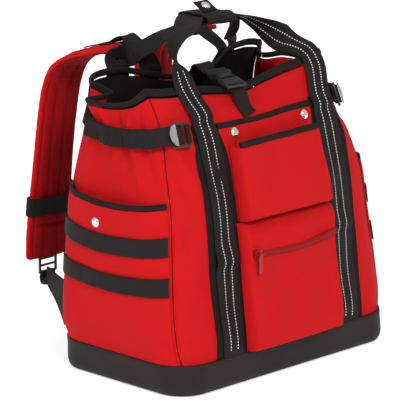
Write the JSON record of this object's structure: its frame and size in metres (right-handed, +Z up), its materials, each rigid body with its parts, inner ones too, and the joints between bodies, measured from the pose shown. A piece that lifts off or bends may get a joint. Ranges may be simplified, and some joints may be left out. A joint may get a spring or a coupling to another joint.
{
  "type": "tool backpack",
  "caption": "Open-topped soft tool backpack on a moulded tub, with front and side pockets, carry handles and padded shoulder straps.",
  "frame": {"origin": "centre of the flat underside of the base tub", "axes": "+Z up, front pockets towards -Y, back with the shoulder straps towards +Y, +X to the right seen from the front"},
  "size_m": [0.44, 0.3844, 0.4736],
  "materials": {
    "red_fabric": "matt coated weave",
    "black_fabric": "matt coated weave",
    "black_webbing": "ribbed webbing",
    "black_tub": "grained matt",
    "dark_plastic": "satin",
    "bright_steel": "polished",
    "red_metal": "satin paint"
  },
  "bodies": {
    "bag": {"base_tub": "black_tub", "front_panel": "red_fabric", "side_panel_right": "red_fabric", "back_panel": "black_fabric", "side_panel_left": "red_fabric", "front_lining": "black_fabric", "back_lining": "black_fabric", "front_rim_binding": "black_fabric", "back_rim_binding": "black_fabric", "front_band_left": "black_fabric", "front_band_right": "black_fabric", "front_handle": "black_webbing", "rear_handle": "black_webbing", "handle_wrap": "black_webbing", "wrap_flap": "black_webbing", "wrap_snap": "bright_steel", "organizer_pocket": "red_fabric", "organizer_binding": "black_fabric", "front_snap_left": "bright_steel", "front_snap_right": "bright_steel", "upper_pocket": "red_fabric", "lower_pocket": "red_fabric", "upper_pocket_binding": "black_fabric", "zip_tape": "red_fabric", "zip_slider": "red_metal", "side_pocket_left": "red_fabric", "side_pocket_binding_left": "black_fabric", "side_band_upper_left": "black_webbing", "side_band_lower_left": "black_webbing", "side_snap_left": "bright_steel", "cinch_lock_left": "dark_plastic", "cinch_strap_left": "black_webbing", "cinch_tab_left": "black_webbing", "side_pocket_right": "red_fabric", "side_pocket_binding_right": "black_fabric", "side_band_upper_right": "black_webbing", "side_band_lower_right": "black_webbing", "side_snap_right": "bright_steel", "cinch_lock_right": "dark_plastic", "cinch_strap_right": "black_webbing", "cinch_tab_right": "black_webbing", "buckle_latch": "dark_plastic", "buckle_body": "dark_plastic", "closure_strap_front": "black_webbing", "closure_strap_back": "black_webbing", "shoulder_pad_left": "red_fabric", "shoulder_webbing_left": "black_webbing", "strap_keeper_left": "black_fabric", "adjuster_lock_left": "dark_plastic", "strap_wing_left": "black_fabric", "adjuster_webbing_left": "black_webbing", "shoulder_pad_right": "red_fabric", "shoulder_webbing_right": "black_webbing", "strap_keeper_right": "black_fabric", "adjuster_lock_right": "dark_plastic", "strap_wing_right": "black_fabric", "adjuster_webbing_right": "black_webbing", "sternum_strap": "black_webbing"},
    "zip_pull": {"zip_pull": "red_metal"}
  },
  "joints": [
    {"name": "zip_pull_swing", "type": "hinge", "parent": "bag", "child": "zip_pull", "pos_m": [-0.074, -0.13757, 0.17392], "axis": [-1, 0, 0], "range_deg": [0, 150]}
  ]
}
